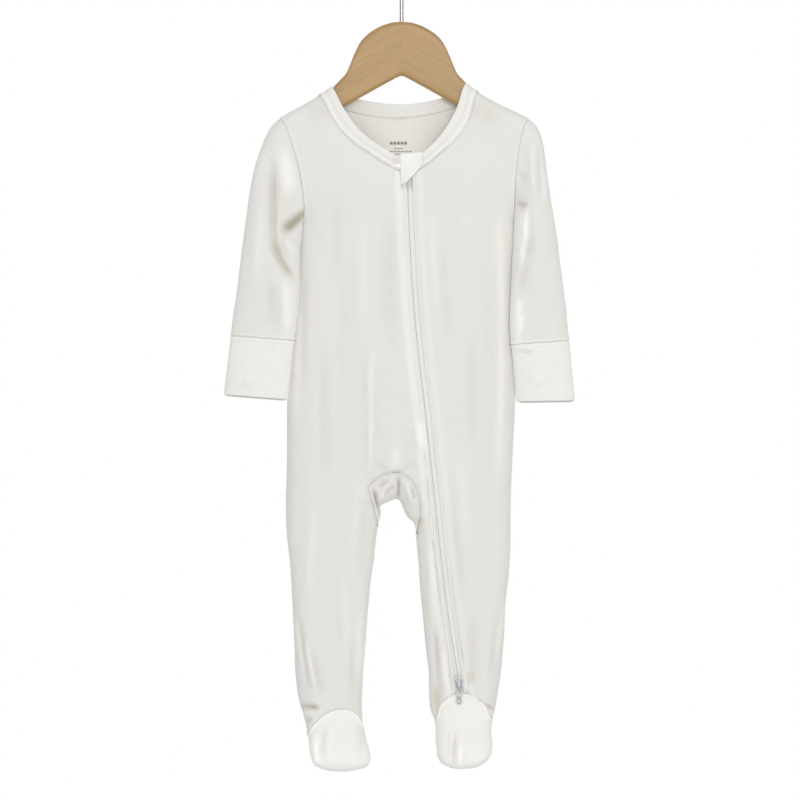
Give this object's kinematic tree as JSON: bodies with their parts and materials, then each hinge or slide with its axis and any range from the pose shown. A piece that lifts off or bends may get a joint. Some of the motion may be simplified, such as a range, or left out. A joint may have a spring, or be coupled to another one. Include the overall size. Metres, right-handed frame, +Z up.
{
  "type": "baby sleepsuit on a hanger",
  "caption": "Long-sleeved footed baby sleepsuit, zipped from the neck down the inside of one leg, hung empty on a flat wooden hanger with a wire hook.",
  "frame": {"origin": "inner top of the hanger's hook, where the rail bears", "axes": "+Z up, the garment's front towards -Y, the wearer's left towards +X"},
  "size_m": [0.2929, 0.0523, 0.7005],
  "materials": {
    "jersey": "fine off-white single jersey with a soft sheen",
    "band_jersey": "double layer of the same jersey",
    "zip_tape": "woven zip tape",
    "zip_coil": "satin nylon",
    "slider_enamel": "pale satin enamel",
    "hanger_wood": "satin varnish",
    "hook_steel": "bright drawn wire"
  },
  "bodies": {
    "suit": {"front_right": "jersey", "front_left": "jersey", "back": "jersey", "sleeve_right": "jersey", "sleeve_left": "jersey", "cuff_right": "band_jersey", "cuff_left": "band_jersey", "neckband": "band_jersey", "gusset": "jersey", "foot_top_right": "jersey", "foot_top_left": "jersey", "sole_right": "jersey", "sole_left": "jersey", "zip_tape_right": "zip_tape", "zip_tape_left": "zip_tape", "zip_coil": "zip_coil", "zip_guard": "jersey", "zip_slider": "slider_enamel", "hanger": "hanger_wood", "hanger_hook": "hook_steel"},
    "pull": {"zip_pull": "slider_enamel"}
  },
  "joints": [
    {"name": "pull_hinge", "type": "hinge", "parent": "suit", "child": "pull", "pos_m": [0.04817, -0.01531, -0.62521], "axis": [1, 0, 0], "range_deg": [-150, 0]}
  ]
}
